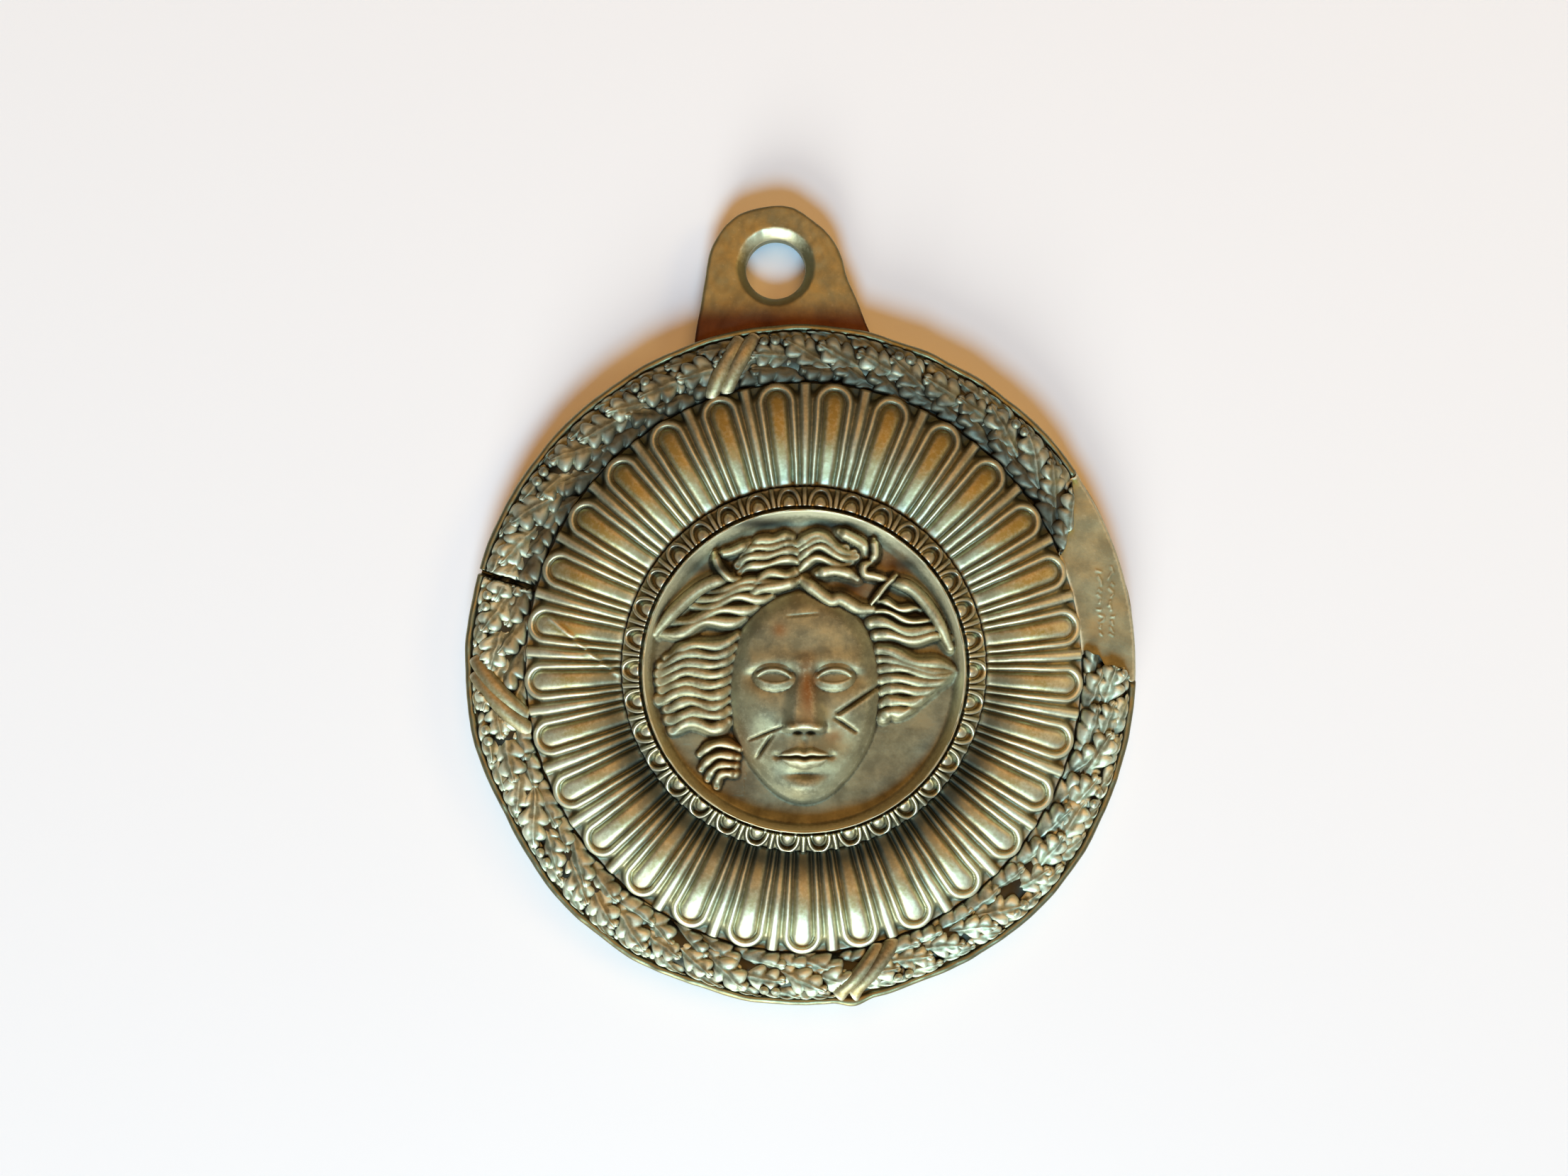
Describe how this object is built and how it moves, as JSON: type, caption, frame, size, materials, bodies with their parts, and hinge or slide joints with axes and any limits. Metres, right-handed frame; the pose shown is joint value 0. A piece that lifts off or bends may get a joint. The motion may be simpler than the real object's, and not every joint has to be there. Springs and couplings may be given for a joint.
{
  "type": "medallion with gorgon mask",
  "caption": "Round cast bronze medallion with a gorgon mask in high relief, ringed by flutes and a wreath, with a flat drilled tab to hang it by.",
  "frame": {"origin": "middle of the disc's flat back, on the surface that the medallion lies on", "axes": "+Z out of the relief, +Y from the disc towards the tab, +X to the right of the head as it is seen"},
  "size_m": [0.05, 0.0593, 0.0065],
  "materials": {
    "bronze": "dark olive patina in the hollows, rubbed bright on the high places"
  },
  "bodies": {
    "root": {"medal": "bronze", "tab": "bronze"}
  },
  "joints": []
}
